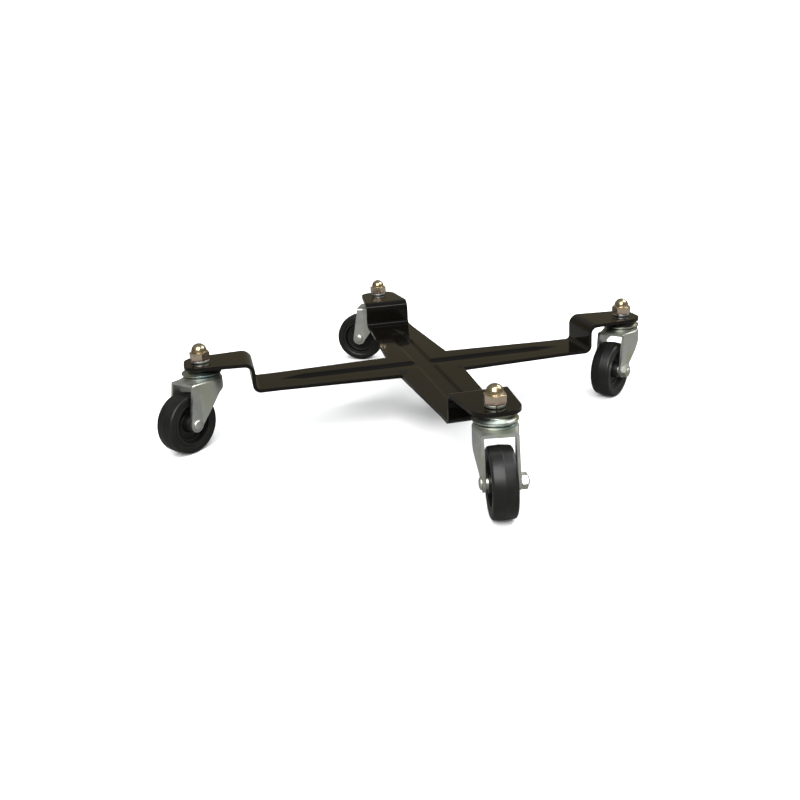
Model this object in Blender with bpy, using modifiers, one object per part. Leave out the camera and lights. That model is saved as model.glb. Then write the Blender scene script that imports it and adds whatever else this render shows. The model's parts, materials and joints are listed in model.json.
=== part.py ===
"""A low cross dolly that moves a motorcycle by its wheel or centre stand.

A long flat steel bar lies along X. Two half bars butt against its sides and run out along Y, with
their tops flush with its top, and are welded to it from below. Every arm is pressed with a shallow
groove down its middle and steps up at its end to a raised flange. A swivel caster hangs from each
of the four flanges on its stem.

Z is up from the floor. The origin is on the floor, under the middle of the bounding box.
"""

import math

import bmesh
import bpy
from mathutils import Matrix, Vector

MM = 0.001

# Whole object
WHEEL_DIAMETER = 65 * MM
STEM_REACH = 246 * MM
CROSS_CENTRE = Vector((15.09 * MM, 12.68 * MM, 0))
GAP = 0.3 * MM

# Bars
BAR_THICKNESS = 4 * MM
BAR_CENTRE_WIDTH = 72 * MM
BAR_RISER_WIDTH = 56 * MM
BAR_STEM_WIDTH = 47 * MM
FLANGE_TOP = 92 * MM
BAR_TOP = 62.3 * MM
RISER_FACE = 191 * MM
PARALLEL_LENGTH = 20 * MM
LOWER_BEND_RADIUS = 4.5 * MM
UPPER_BEND_RADIUS = 11 * MM
FLANGE_OVERHANG = 17.5 * MM
TIP_CORNER_RADIUS = 15 * MM
STEM_HOLE_RADIUS = 6.4 * MM
GROOVE_DEPTH = 2.8 * MM
GROOVE_HALF_WIDTH = 11.5 * MM
GROOVE_FLOOR_HALF_WIDTH = 7 * MM
GROOVE_FULL_REACH = 140 * MM
GROOVE_END_REACH = 166 * MM
GROOVE_END_SCALE = 0.12
HOLE_CUT_REACH = 20 * MM

# Caster wheel
WHEEL_RADIUS = WHEEL_DIAMETER / 2
WHEEL_WIDTH = 23 * MM
TREAD_SHOULDER_DROP = 0.9 * MM
SHOULDER_ROUND = 2 * MM
TYRE_INNER_RADIUS = 23.5 * MM
TYRE_SIDE_HEIGHT = 3 * MM
RIM_SETBACK = 1 * MM
RECESS_RADIUS = 21 * MM
MOULD_DRAFT = 0.6 * MM
HUB_RADIUS = 9 * MM
WEB_HALF_THICKNESS = 2.5 * MM
TRAIL = 28 * MM

# Fork
FORK_SHEET = 2.8 * MM
FORK_HALF_WIDTH = 16.6 * MM
CROWN_TOP = 76 * MM
HOOD_RADIUS = 21 * MM
CROWN_BACK_REACH = 28.5 * MM
SKIRT_FRONT_BOTTOM = 63 * MM
SKIRT_SIDE_REACH = -3 * MM
SKIRT_SIDE_BOTTOM = 60.5 * MM
CROWN_EDGE_DEPTH = 3 * MM
AXLE_END_RADIUS = 8 * MM
AXLE_HOLE_RADIUS = 4.3 * MM

# Swivel bearing
KINGPIN_RADIUS = 6 * MM
KINGPIN_HEAD_RADIUS = 9 * MM
KINGPIN_HEAD_HEIGHT = 2.8 * MM
KINGPIN_TOP = 104 * MM
CHAMFER = 1 * MM
RACE_BORE_RADIUS = 6.4 * MM
LOWER_RACE_RADIUS = 19.5 * MM
TOP_RACE_RADIUS = 21 * MM
TOP_RACE_NECK_RADIUS = 15.5 * MM
TOP_RACE_NECK_HEIGHT = 2.6 * MM
TOP_RACE_RIM = 1.6 * MM
BALL_RADIUS = 1.9 * MM
BALL_CIRCLE_RADIUS = 14 * MM
BALL_COUNT = 8
BALL_HEIGHT = 79.4 * MM
RACE_SPLIT = 0.8 * MM
CAGE_HALF_THICKNESS = 0.45 * MM
CAGE_HALF_WIDTH = 3.4 * MM

# Stem nut and spring washer
WASHER_RADIUS = 9.6 * MM
WASHER_THICKNESS = 2.5 * MM
WASHER_SPLIT = 1.2 * MM
NUT_ACROSS_FLATS = 19 * MM
NUT_HEX_HEIGHT = 8.5 * MM
NUT_TOP = 112.6 * MM
NUT_DOME_RADIUS = 8.2 * MM
NUT_BORE_RADIUS = 6.3 * MM

# Axle
AXLE_RADIUS = 4 * MM
SLEEVE_RADIUS = 6 * MM
AXLE_HEAD_RADIUS = 5.8 * MM
AXLE_HEAD_HEIGHT = 2.6 * MM
AXLE_NUT_ACROSS_FLATS = 13 * MM
AXLE_NUT_HEIGHT = 6 * MM
AXLE_THREAD_PROUD = 1.5 * MM

# Welds under the crossing
WELD_HALF_WIDTH = 2.5 * MM
WELD_DEPTH = 1.4 * MM
WELD_LENGTH = 20 * MM

# Each caster's direction from the cross centre and the way its wheel trails, in degrees, and the
# side of the fork that the axle bolt's head is on
CASTERS = {
    "front": (270, 259, -1),
    "left": (180, 222, 1),
    "right": (0, 219, -1),
    "back": (90, 157, 1),
}

BEND_STEPS = 4
TIP_STEPS = 4
DOME_STEPS = 4
TRACK_STEPS = 4
HOOD_STEPS = 12
AXLE_END_STEPS = 8
TYRE_SEGMENTS = 32
RING_SEGMENTS = 20
ROUND_SEGMENTS = 12
BALL_SEGMENTS = 6

BLACK_PAINT = {"colour": (0.012, 0.011, 0.010), "metallic": 0.0, "roughness": 0.15}
BRIGHT_ZINC = {"colour": (0.62, 0.64, 0.62), "metallic": 1.0, "roughness": 0.35}
YELLOW_ZINC = {"colour": (0.62, 0.52, 0.30), "metallic": 1.0, "roughness": 0.3}
RUBBER = {"colour": (0.035, 0.036, 0.034), "metallic": 0.0, "roughness": 0.55}
BLACK_PLASTIC = {"colour": (0.012, 0.012, 0.012), "metallic": 0.0, "roughness": 0.4}
BEARING_STEEL = {"colour": (0.45, 0.45, 0.46), "metallic": 1.0, "roughness": 0.2}


def clear_scene():
    for obj in list(bpy.data.objects):
        bpy.data.objects.remove(obj)


def new_collection(name):
    collection = bpy.data.collections.new(name)
    bpy.context.scene.collection.children.link(collection)
    return collection


def make_material(name, look):
    material = bpy.data.materials.new(name)
    material.use_nodes = True
    shader = material.node_tree.nodes["Principled BSDF"]
    shader.inputs["Base Color"].default_value = (*look["colour"], 1)
    shader.inputs["Metallic"].default_value = look["metallic"]
    shader.inputs["Roughness"].default_value = look["roughness"]
    return material


def add_part(name, mesh, look, parent, location=(0, 0, 0), rotation=(0, 0, 0)):
    """An object of the dolly, in its own material, placed in its parent's frame."""
    obj = bpy.data.objects.new(name, mesh)
    mesh.materials.append(make_material(name + "_finish", look))
    parts.objects.link(obj)
    obj.parent = parent
    obj.location = location
    obj.rotation_euler = rotation
    return obj


def add_helper(name, mesh, parent, location=(0, 0, 0), rotation=(0, 0, 0)):
    """A hidden object for a Boolean modifier to cut or join with."""
    obj = bpy.data.objects.new(name, mesh)
    helpers.objects.link(obj)
    obj.parent = parent
    obj.location = location
    obj.rotation_euler = rotation
    obj.hide_render = True
    obj.display_type = "WIRE"
    return obj


def boolean(obj, helper, operation):
    modifier = obj.modifiers.new(helper.name, "BOOLEAN")
    modifier.operation = operation
    modifier.object = helper


def mesh_from(builder, name):
    """The mesh that a function fills in through bmesh."""
    shape = bmesh.new()
    builder(shape)
    bmesh.ops.recalc_face_normals(shape, faces=shape.faces)
    mesh = bpy.data.meshes.new(name)
    shape.to_mesh(mesh)
    shape.free()
    return mesh


def prism_mesh(name, sides, radius, bottom, top):
    """An upright prism, or a cylinder where it has many sides."""

    def build(shape):
        place = Matrix.Translation((0, 0, (bottom + top) / 2))
        bmesh.ops.create_cone(
            shape,
            cap_ends=True,
            segments=sides,
            radius1=radius,
            radius2=radius,
            depth=top - bottom,
            matrix=place,
        )

    return mesh_from(build, name)


def box_mesh(name, low, high):
    size = Vector(high) - Vector(low)
    middle = (Vector(high) + Vector(low)) / 2

    def build(shape):
        place = Matrix.Translation(middle) @ Matrix.Diagonal((*size, 1))
        bmesh.ops.create_cube(shape, size=1, matrix=place)

    return mesh_from(build, name)


def outline_mesh(name, outline, thickness):
    """A flat outline in XY with its thickness centred on Z."""
    curve = bpy.data.curves.new(name, "CURVE")
    curve.dimensions = "2D"
    curve.fill_mode = "BOTH"
    curve.extrude = thickness / 2
    spline = curve.splines.new("POLY")
    spline.points.add(len(outline) - 1)
    for point, (x, y) in zip(spline.points, outline):
        point.co = (x, y, 0, 1)
    spline.use_cyclic_u = True
    spline.use_smooth = False
    holder = bpy.data.objects.new(name, curve)
    helpers.objects.link(holder)
    graph = bpy.context.evaluated_depsgraph_get()
    mesh = bpy.data.meshes.new_from_object(holder.evaluated_get(graph))
    bpy.data.objects.remove(holder)
    shape = bmesh.new()
    shape.from_mesh(mesh)
    bmesh.ops.remove_doubles(shape, verts=shape.verts, dist=0.001 * MM)
    bmesh.ops.recalc_face_normals(shape, faces=shape.faces)
    shape.to_mesh(mesh)
    shape.free()
    return mesh


def turned_mesh(name, profile):
    """A (radius, height) outline for a Screw modifier. One that starts off the axis is closed."""
    mesh = bpy.data.meshes.new(name)
    points = [(radius, 0, height) for radius, height in profile]
    edges = [(i, i + 1) for i in range(len(points) - 1)]
    if profile[0][0] > 0:
        edges.append((len(points) - 1, 0))
    mesh.from_pydata(points, edges, [])
    return mesh


def turn(obj, segments):
    screw = obj.modifiers.new("turn", "SCREW")
    screw.angle = math.tau
    screw.steps = segments
    screw.render_steps = segments
    screw.use_smooth_shade = True
    screw.use_merge_vertices = True
    screw.merge_threshold = 0.01 * MM
    return obj


def arc(centre, radius, start, end, steps):
    """Points from the angle start to the angle end, in degrees."""
    points = []
    for step in range(steps + 1):
        angle = math.radians(start + (end - start) * step / steps)
        points.append((centre[0] + radius * math.cos(angle), centre[1] + radius * math.sin(angle)))
    return points


# Bars


def arm_stations():
    """Where an arm's upper surface runs, outwards from the crossing: (reach, height, the normal's
    part along the arm, the normal's part up)."""
    groove_middle = (GROOVE_FULL_REACH + GROOVE_END_REACH) / 2
    stations = [(reach, BAR_TOP, 0, 1) for reach in (GROOVE_FULL_REACH, groove_middle, GROOVE_END_REACH)]
    lower_centre = (RISER_FACE - LOWER_BEND_RADIUS, BAR_TOP + LOWER_BEND_RADIUS)
    for reach, height in arc(lower_centre, LOWER_BEND_RADIUS, -90, 0, BEND_STEPS):
        along = (lower_centre[0] - reach) / LOWER_BEND_RADIUS
        up = (lower_centre[1] - height) / LOWER_BEND_RADIUS
        stations.append((reach, height, along, up))
    upper_centre = (RISER_FACE + UPPER_BEND_RADIUS, FLANGE_TOP - UPPER_BEND_RADIUS)
    for reach, height in arc(upper_centre, UPPER_BEND_RADIUS, 180, 90, BEND_STEPS):
        along = (reach - upper_centre[0]) / UPPER_BEND_RADIUS
        up = (height - upper_centre[1]) / UPPER_BEND_RADIUS
        stations.append((reach, height, along, up))
    corner_start = STEM_REACH + FLANGE_OVERHANG - TIP_CORNER_RADIUS
    for step in range(TIP_STEPS + 1):
        angle = math.pi / 2 * step / TIP_STEPS
        stations.append((corner_start + TIP_CORNER_RADIUS * math.sin(angle), FLANGE_TOP, 0, 1))
    return stations


def bar_half_width(reach):
    """Widest at the crossing, parallel at the riser, tapering on to a tip with rounded corners."""
    taper_start = BAR_CENTRE_WIDTH / 2
    taper_end = RISER_FACE - PARALLEL_LENGTH
    flange_start = RISER_FACE + UPPER_BEND_RADIUS
    share = max(0, min(1, (reach - taper_start) / (taper_end - taper_start)))
    width = BAR_CENTRE_WIDTH + (BAR_RISER_WIDTH - BAR_CENTRE_WIDTH) * share
    if reach > flange_start:
        share = (reach - flange_start) / (STEM_REACH - flange_start)
        width += (BAR_STEM_WIDTH - BAR_RISER_WIDTH) * share
    half_width = width / 2
    corner_start = STEM_REACH + FLANGE_OVERHANG - TIP_CORNER_RADIUS
    if reach > corner_start:
        inset = min(reach - corner_start, TIP_CORNER_RADIUS)
        half_width -= TIP_CORNER_RADIUS - math.sqrt(TIP_CORNER_RADIUS**2 - inset**2)
    return half_width


def groove_scale(reach):
    """1 along the groove, tapering to a point at its end."""
    share = (reach - GROOVE_FULL_REACH) / (GROOVE_END_REACH - GROOVE_FULL_REACH)
    return max(GROOVE_END_SCALE, min(1, 1 - share))


def groove_drop(distance):
    """How far the pressed groove lies below the flat, at this distance from its middle."""
    wall = GROOVE_HALF_WIDTH - GROOVE_FLOOR_HALF_WIDTH
    share = (GROOVE_HALF_WIDTH - abs(distance)) / wall
    return GROOVE_DEPTH * max(0, min(1, share))


def split_from_centre(shape):
    """Splits each quad along the diagonal from its corner nearest the crossing, so that the
    groove's mitred corners fold the same way on every arm."""
    for face in list(shape.faces):
        corners = sorted(face.verts, key=lambda vert: vert.co.xy.length)
        nearest = corners[0]
        edges = set(nearest.link_edges)
        opposite = next(v for v in corners[1:] if not edges & set(v.link_edges))
        bmesh.utils.face_split(face, nearest, opposite)


def bar_mesh(name, stations):
    """A bar's upper surface, laid over a grid, and the same surface one thickness below it."""
    across = (
        (-1, 0),
        (0, -GROOVE_HALF_WIDTH),
        (0, -GROOVE_FLOOR_HALF_WIDTH),
        (0, GROOVE_FLOOR_HALF_WIDTH),
        (0, GROOVE_HALF_WIDTH),
        (1, 0),
    )

    def build(shape):
        bmesh.ops.create_grid(shape, x_segments=len(stations) - 1, y_segments=len(across) - 1, size=1)
        through = {}
        for vert in shape.verts:
            column = round((vert.co.x + 1) / 2 * (len(stations) - 1))
            row = round((vert.co.y + 1) / 2 * (len(across) - 1))
            reach, height, along, up = stations[column]
            edge_share, groove_line = across[row]
            scale = groove_scale(abs(reach))
            side = edge_share * bar_half_width(abs(reach)) + groove_line * scale
            depth_share = (scale - GROOVE_END_SCALE) / (1 - GROOVE_END_SCALE)
            drop = max(groove_drop(side / scale) * depth_share, groove_drop(reach))
            vert.co = (reach, side, height - drop)
            through[vert] = Vector((-along, 0, -up)) * BAR_THICKNESS
        split_from_centre(shape)
        upper = list(shape.verts)
        surface = shape.faces[:] + shape.edges[:] + upper
        made = bmesh.ops.extrude_face_region(shape, geom=surface, use_keep_orig=True)
        copies = [item for item in made["geom"] if isinstance(item, bmesh.types.BMVert)]
        for original, copy in zip(upper, copies):
            copy.co = original.co + through[original]

    return mesh_from(build, name)


def cut_stem_hole(bar, reach, label):
    hole = prism_mesh(label, RING_SEGMENTS, STEM_HOLE_RADIUS, -HOLE_CUT_REACH, HOLE_CUT_REACH)
    boolean(bar, add_helper(label, hole, bar, location=(reach, 0, FLANGE_TOP)), "DIFFERENCE")


def build_long_bar():
    """Both of its arms in one piece, with the other arms' groove pressed across its middle."""
    right = [(BAR_CENTRE_WIDTH / 2, BAR_TOP, 0, 1)] + arm_stations()
    left = [(-reach, height, -along, up) for reach, height, along, up in reversed(right)]
    crossing = (-GROOVE_HALF_WIDTH, -GROOVE_FLOOR_HALF_WIDTH, 0, GROOVE_FLOOR_HALF_WIDTH, GROOVE_HALF_WIDTH)
    middle = [(reach, BAR_TOP, 0, 1) for reach in crossing]
    bar = add_part("long_bar", bar_mesh("long_bar", left + middle + right), BLACK_PAINT, cross)
    cut_stem_hole(bar, STEM_REACH, "long_bar_right_hole")
    cut_stem_hole(bar, -STEM_REACH, "long_bar_left_hole")


def build_half_bar(name, direction):
    """An arm that starts at the long bar's side."""
    stations = [(BAR_CENTRE_WIDTH / 2 + GAP, BAR_TOP, 0, 1)] + arm_stations()
    mesh = bar_mesh(name, stations)
    bar = add_part(name, mesh, BLACK_PAINT, cross, rotation=(0, 0, math.radians(direction)))
    cut_stem_hole(bar, STEM_REACH, name + "_hole")


def build_welds():
    """Four beads under the butt joints, one on each side of each half bar's groove."""
    seam = BAR_CENTRE_WIDTH / 2 + GAP / 2
    middle = GROOVE_HALF_WIDTH + WELD_DEPTH + WELD_LENGTH / 2
    height = BAR_TOP - BAR_THICKNESS - GAP
    section = [(-WELD_HALF_WIDTH, 0), (WELD_HALF_WIDTH, 0)]
    section += [(WELD_HALF_WIDTH / 2, -WELD_DEPTH), (-WELD_HALF_WIDTH / 2, -WELD_DEPTH)]
    for end, y in (("front", -seam), ("back", seam)):
        for side, x in (("left", -middle), ("right", middle)):
            mesh = outline_mesh(f"weld_{end}_{side}", section, WELD_LENGTH)
            turned = (math.pi / 2, 0, math.pi / 2)
            add_part(mesh.name, mesh, BLACK_PAINT, cross, location=(x, y, height), rotation=turned)


# Casters


def build_stem_nut(name, swivel):
    """Domed cap nut: a hexagon with a dome on it, bored from below."""
    hex_bottom = FLANGE_TOP + GAP + WASHER_THICKNESS + GAP
    hex_top = hex_bottom + NUT_HEX_HEIGHT
    hexagon = prism_mesh(name, 6, NUT_ACROSS_FLATS / math.sqrt(3), hex_bottom, hex_top)
    nut = add_part(name, hexagon, YELLOW_ZINC, swivel)
    dome_height = NUT_TOP - hex_top
    dome_base = hex_top - CHAMFER
    profile = [(0, NUT_TOP)]
    for step in range(1, DOME_STEPS + 1):
        angle = math.pi / 2 * (1 - step / DOME_STEPS)
        profile.append((NUT_DOME_RADIUS * math.cos(angle), hex_top + dome_height * math.sin(angle)))
    profile += [(NUT_DOME_RADIUS, dome_base), (0, dome_base)]
    dome = add_helper(name + "_dome", turned_mesh(name + "_dome", profile), swivel)
    turn(dome, ROUND_SEGMENTS)
    boolean(nut, dome, "UNION")
    bore_bottom = hex_bottom - WASHER_THICKNESS
    bore = prism_mesh(name + "_bore", ROUND_SEGMENTS, NUT_BORE_RADIUS, bore_bottom, KINGPIN_TOP + GAP)
    boolean(nut, add_helper(bore.name, bore, swivel), "DIFFERENCE")


def build_spring_washer(name, swivel):
    bottom = FLANGE_TOP + GAP
    top = bottom + WASHER_THICKNESS
    profile = [
        (WASHER_RADIUS, top),
        (WASHER_RADIUS, bottom),
        (NUT_BORE_RADIUS, bottom),
        (NUT_BORE_RADIUS, top),
    ]
    washer = turn(add_part(name, turned_mesh(name, profile), YELLOW_ZINC, swivel), RING_SEGMENTS)
    split = box_mesh(
        name + "_split",
        (0, -WASHER_SPLIT / 2, bottom - WASHER_THICKNESS),
        (WASHER_RADIUS * 2, WASHER_SPLIT / 2, top + WASHER_THICKNESS),
    )
    boolean(washer, add_helper(split.name, split, swivel), "DIFFERENCE")


def build_stem(name, swivel):
    """The kingpin: a flat head under the crown, and one shank up through bearing, flange and nut."""
    head_top = CROWN_TOP - FORK_SHEET - GAP
    profile = [
        (0, KINGPIN_TOP),
        (KINGPIN_RADIUS - CHAMFER, KINGPIN_TOP),
        (KINGPIN_RADIUS, KINGPIN_TOP - CHAMFER),
        (KINGPIN_RADIUS, head_top),
        (KINGPIN_HEAD_RADIUS, head_top),
        (KINGPIN_HEAD_RADIUS - CHAMFER, head_top - KINGPIN_HEAD_HEIGHT),
        (0, head_top - KINGPIN_HEAD_HEIGHT),
    ]
    turn(add_part(name, turned_mesh(name, profile), BRIGHT_ZINC, swivel), ROUND_SEGMENTS)


def ball_track(sign):
    """The raceway's section, outside to inside, above the balls (1) or below them (-1)."""
    radius = BALL_RADIUS + GAP
    start = math.degrees(math.asin(RACE_SPLIT / radius))
    points = arc((BALL_CIRCLE_RADIUS, 0), radius, start, 180 - start, TRACK_STEPS)
    return [(reach, BALL_HEIGHT + sign * height) for reach, height in points]


def build_top_race(name, swivel):
    """A dished cup under the flange, flaring down to a rim over the ball circle."""
    top = FLANGE_TOP - BAR_THICKNESS - GAP
    rim_bottom = BALL_HEIGHT + RACE_SPLIT
    profile = [
        (TOP_RACE_NECK_RADIUS, top),
        (TOP_RACE_NECK_RADIUS + TOP_RACE_RIM / 2, top - TOP_RACE_NECK_HEIGHT),
        (TOP_RACE_RADIUS - TOP_RACE_RIM / 2, rim_bottom + TOP_RACE_RIM * 1.5),
        (TOP_RACE_RADIUS, rim_bottom + TOP_RACE_RIM),
        (TOP_RACE_RADIUS, rim_bottom),
    ]
    profile += ball_track(1)
    profile += [(RACE_BORE_RADIUS, rim_bottom), (RACE_BORE_RADIUS, top)]
    turn(add_part(name, turned_mesh(name, profile), BRIGHT_ZINC, swivel), RING_SEGMENTS)


def build_lower_race(name, swivel):
    """The ring on the fork's crown that carries the balls."""
    bottom = CROWN_TOP + GAP
    top = BALL_HEIGHT - RACE_SPLIT
    profile = [(RACE_BORE_RADIUS, top)]
    profile += list(reversed(ball_track(-1)))
    profile += [
        (LOWER_RACE_RADIUS - CHAMFER, top),
        (LOWER_RACE_RADIUS, top - CHAMFER),
        (LOWER_RACE_RADIUS, bottom),
        (RACE_BORE_RADIUS, bottom),
    ]
    turn(add_part(name, turned_mesh(name, profile), BRIGHT_ZINC, swivel), RING_SEGMENTS)


def build_ball_ring(name, swivel):
    """The cage and the balls that it holds."""
    inner = BALL_CIRCLE_RADIUS - CAGE_HALF_WIDTH
    outer = BALL_CIRCLE_RADIUS + CAGE_HALF_WIDTH
    profile = [
        (outer, BALL_HEIGHT + CAGE_HALF_THICKNESS),
        (outer, BALL_HEIGHT - CAGE_HALF_THICKNESS),
        (inner, BALL_HEIGHT - CAGE_HALF_THICKNESS),
        (inner, BALL_HEIGHT + CAGE_HALF_THICKNESS),
    ]
    ring = turn(add_part(name, turned_mesh(name, profile), BEARING_STEEL, swivel), RING_SEGMENTS)

    def build(shape):
        for index in range(BALL_COUNT):
            angle = math.tau * (index + 0.5) / BALL_COUNT
            offset = Vector((math.cos(angle), math.sin(angle), 0)) * BALL_CIRCLE_RADIUS
            place = Matrix.Translation(offset + Vector((0, 0, BALL_HEIGHT)))
            place = place @ Matrix.Rotation(angle, 4, "Z")
            bmesh.ops.create_uvsphere(
                shape, u_segments=BALL_SEGMENTS, v_segments=4, radius=BALL_RADIUS, matrix=place
            )

    balls = mesh_from(build, name + "_balls")
    boolean(ring, add_helper(balls.name, balls, swivel), "UNION")


def fork_plan(inset, back_reach):
    """The fork from above: round about the stem in front, and narrowing from there to legs that
    are parallel past the axle."""
    radius = HOOD_RADIUS - inset
    leg = FORK_HALF_WIDTH - inset
    leg_start = TRAIL - AXLE_END_RADIUS
    tangent = math.atan2(leg, leg_start) + math.acos(radius / math.hypot(leg, leg_start))
    front = arc((0, 0), radius, math.degrees(tangent), 360 - math.degrees(tangent), HOOD_STEPS)
    left_leg = [(back_reach, leg), (leg_start, leg)]
    right_leg = [(leg_start, -leg), (back_reach, -leg)]
    return left_leg + front + right_leg


def fork_side():
    """The fork's outline from the side, in (trail, height)."""
    above_crown = CROWN_TOP + FORK_SHEET
    before_hood = -HOOD_RADIUS - FORK_SHEET
    outline = [(before_hood, above_crown), (before_hood, SKIRT_FRONT_BOTTOM)]
    outline.append((SKIRT_SIDE_REACH, SKIRT_SIDE_BOTTOM))
    outline += arc((TRAIL, WHEEL_RADIUS), AXLE_END_RADIUS, 195, 360, AXLE_END_STEPS)
    outline += [(CROWN_BACK_REACH, CROWN_TOP - CROWN_EDGE_DEPTH), (CROWN_BACK_REACH, above_crown)]
    return outline


def build_fork(name, swivel, axle):
    """A pressed hood: crown, round skirt in front, and two legs that narrow to the axle."""
    height = CROWN_TOP - WHEEL_RADIUS + AXLE_END_RADIUS + FORK_SHEET
    back_reach = TRAIL + AXLE_END_RADIUS * 2
    outer = outline_mesh(name, fork_plan(0, back_reach), height)
    for vert in outer.vertices:
        vert.co.z += CROWN_TOP - height / 2
    fork = add_part(name, outer, BRIGHT_ZINC, swivel)
    inner = outline_mesh(name + "_inside", fork_plan(FORK_SHEET, back_reach * 2), height)
    inner_middle = CROWN_TOP - FORK_SHEET - height / 2
    boolean(fork, add_helper(inner.name, inner, swivel, location=(0, 0, inner_middle)), "DIFFERENCE")
    side = outline_mesh(name + "_side", fork_side(), HOOD_RADIUS * 3)
    boolean(fork, add_helper(side.name, side, swivel, rotation=(math.pi / 2, 0, 0)), "INTERSECT")
    above_crown = CROWN_TOP + FORK_SHEET
    bore = prism_mesh(name + "_bore", ROUND_SEGMENTS, RACE_BORE_RADIUS, SKIRT_SIDE_BOTTOM, above_crown)
    boolean(fork, add_helper(bore.name, bore, swivel), "DIFFERENCE")
    reach = FORK_HALF_WIDTH * 2
    axle_hole = prism_mesh(name + "_axle_hole", ROUND_SEGMENTS, AXLE_HOLE_RADIUS, -reach, reach)
    boolean(fork, add_helper(axle_hole.name, axle_hole, axle), "DIFFERENCE")


# Wheel and axle, built in the axle's frame: Z runs along the axle towards its bolt's head


def build_tyre(name, axle):
    """A solid tyre whose tread slopes a little both ways from its middle, with round shoulders."""
    half = WHEEL_WIDTH / 2
    shoulder = WHEEL_RADIUS - TREAD_SHOULDER_DROP
    round_centre = (shoulder - SHOULDER_ROUND, half - SHOULDER_ROUND)
    upper = [(TYRE_INNER_RADIUS + TYRE_SIDE_HEIGHT, half)]
    upper += arc(round_centre, SHOULDER_ROUND, 90, 0, 2)
    lower = [(radius, -height) for radius, height in reversed(upper)]
    inside = [(TYRE_INNER_RADIUS, -half + RIM_SETBACK), (TYRE_INNER_RADIUS, half - RIM_SETBACK)]
    profile = upper + [(WHEEL_RADIUS, 0)] + lower + inside
    turn(add_part(name, turned_mesh(name, profile), RUBBER, axle), TYRE_SEGMENTS)


def build_core(name, axle):
    """The moulded wheel centre: rim, thin web and hub."""
    half = WHEEL_WIDTH / 2
    rim = TYRE_INNER_RADIUS - GAP
    bore = SLEEVE_RADIUS + GAP
    lower = [
        (rim, RIM_SETBACK - half),
        (RECESS_RADIUS, RIM_SETBACK - half),
        (RECESS_RADIUS - MOULD_DRAFT, -WEB_HALF_THICKNESS),
        (HUB_RADIUS + MOULD_DRAFT, -WEB_HALF_THICKNESS),
        (HUB_RADIUS, -half),
        (bore, -half),
    ]
    upper = [(radius, -height) for radius, height in reversed(lower)]
    turn(add_part(name, turned_mesh(name, lower + upper), BLACK_PLASTIC, axle), RING_SEGMENTS)


def build_sleeve(name, axle):
    """The tube that the wheel turns on, clamped between the legs."""
    half = FORK_HALF_WIDTH - FORK_SHEET - GAP
    bore = AXLE_RADIUS + GAP
    profile = [(SLEEVE_RADIUS, half), (SLEEVE_RADIUS, -half), (bore, -half), (bore, half)]
    turn(add_part(name, turned_mesh(name, profile), BRIGHT_ZINC, axle), ROUND_SEGMENTS)


def build_axle_bolt(name, axle):
    """A low round head outside one leg, and a shank through to the nut on the other side."""
    face = FORK_HALF_WIDTH + GAP
    head_top = face + AXLE_HEAD_HEIGHT
    end = -(face + AXLE_NUT_HEIGHT + AXLE_THREAD_PROUD)
    profile = [
        (0, head_top),
        (AXLE_HEAD_RADIUS * 0.6, face + AXLE_HEAD_HEIGHT * 0.85),
        (AXLE_HEAD_RADIUS, face + AXLE_HEAD_HEIGHT * 0.3),
        (AXLE_HEAD_RADIUS, face),
        (AXLE_RADIUS, face),
        (AXLE_RADIUS, end),
        (0, end),
    ]
    turn(add_part(name, turned_mesh(name, profile), BRIGHT_ZINC, axle), ROUND_SEGMENTS)


def build_axle_nut(name, axle):
    face = FORK_HALF_WIDTH + GAP
    corner_radius = AXLE_NUT_ACROSS_FLATS / math.sqrt(3)
    body = prism_mesh(name, 6, corner_radius, -face - AXLE_NUT_HEIGHT, -face)
    nut = add_part(name, body, BRIGHT_ZINC, axle)
    bore = prism_mesh(name + "_bore", ROUND_SEGMENTS, AXLE_RADIUS + GAP, -face * 2, 0)
    boolean(nut, add_helper(bore.name, bore, axle), "DIFFERENCE")


def add_frame(name, parent, location, rotation=(0, 0, 0)):
    """An empty that holds the axes of the pieces under it."""
    frame = bpy.data.objects.new(name, None)
    parts.objects.link(frame)
    frame.parent = parent
    frame.location = location
    frame.rotation_euler = rotation
    return frame


def build_caster(place, stem_direction, trail_direction, head_side):
    """One caster, in a frame whose Z is the stem's axis and whose X points to its wheel."""
    direction = math.radians(stem_direction)
    stem_foot = (STEM_REACH * math.cos(direction), STEM_REACH * math.sin(direction), 0)
    swivel = add_frame(place + "_swivel_axis", cross, stem_foot, (0, 0, math.radians(trail_direction)))
    axle_tilt = (-head_side * math.pi / 2, 0, 0)
    axle = add_frame(place + "_axle_axis", swivel, (TRAIL, 0, WHEEL_RADIUS), axle_tilt)
    build_stem_nut(place + "_stem_nut", swivel)
    build_spring_washer(place + "_spring_washer", swivel)
    build_stem(place + "_stem", swivel)
    build_top_race(place + "_top_race", swivel)
    build_ball_ring(place + "_ball_ring", swivel)
    build_lower_race(place + "_lower_race", swivel)
    build_fork(place + "_fork", swivel, axle)
    build_tyre(place + "_tyre", axle)
    build_core(place + "_wheel_core", axle)
    build_sleeve(place + "_axle_sleeve", axle)
    build_axle_bolt(place + "_axle_bolt", axle)
    build_axle_nut(place + "_axle_nut", axle)


clear_scene()
parts = new_collection("cross_dolly")
helpers = new_collection("helpers")
cross = add_frame("cross_centre", None, CROSS_CENTRE)
build_long_bar()
build_half_bar("front_arm", 270)
build_half_bar("back_arm", 90)
build_welds()
for place, (stem_direction, trail_direction, head_side) in CASTERS.items():
    build_caster(place, stem_direction, trail_direction, head_side)
bpy.context.view_layer.update()
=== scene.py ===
"""The look of the four-caster cross dolly: finer meshes and procedural materials around the frame.

Each finer mesh is built in its own simple axes and then placed where the frame's joints and boxes
say. A caster's axes have their origin on the floor under the stem, X towards its wheel and Z up.
An axle's axes have Z along the axle, towards the bolt's head.
"""

import json
import math

import bmesh
import bpy
from mathutils import Matrix, Vector


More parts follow.
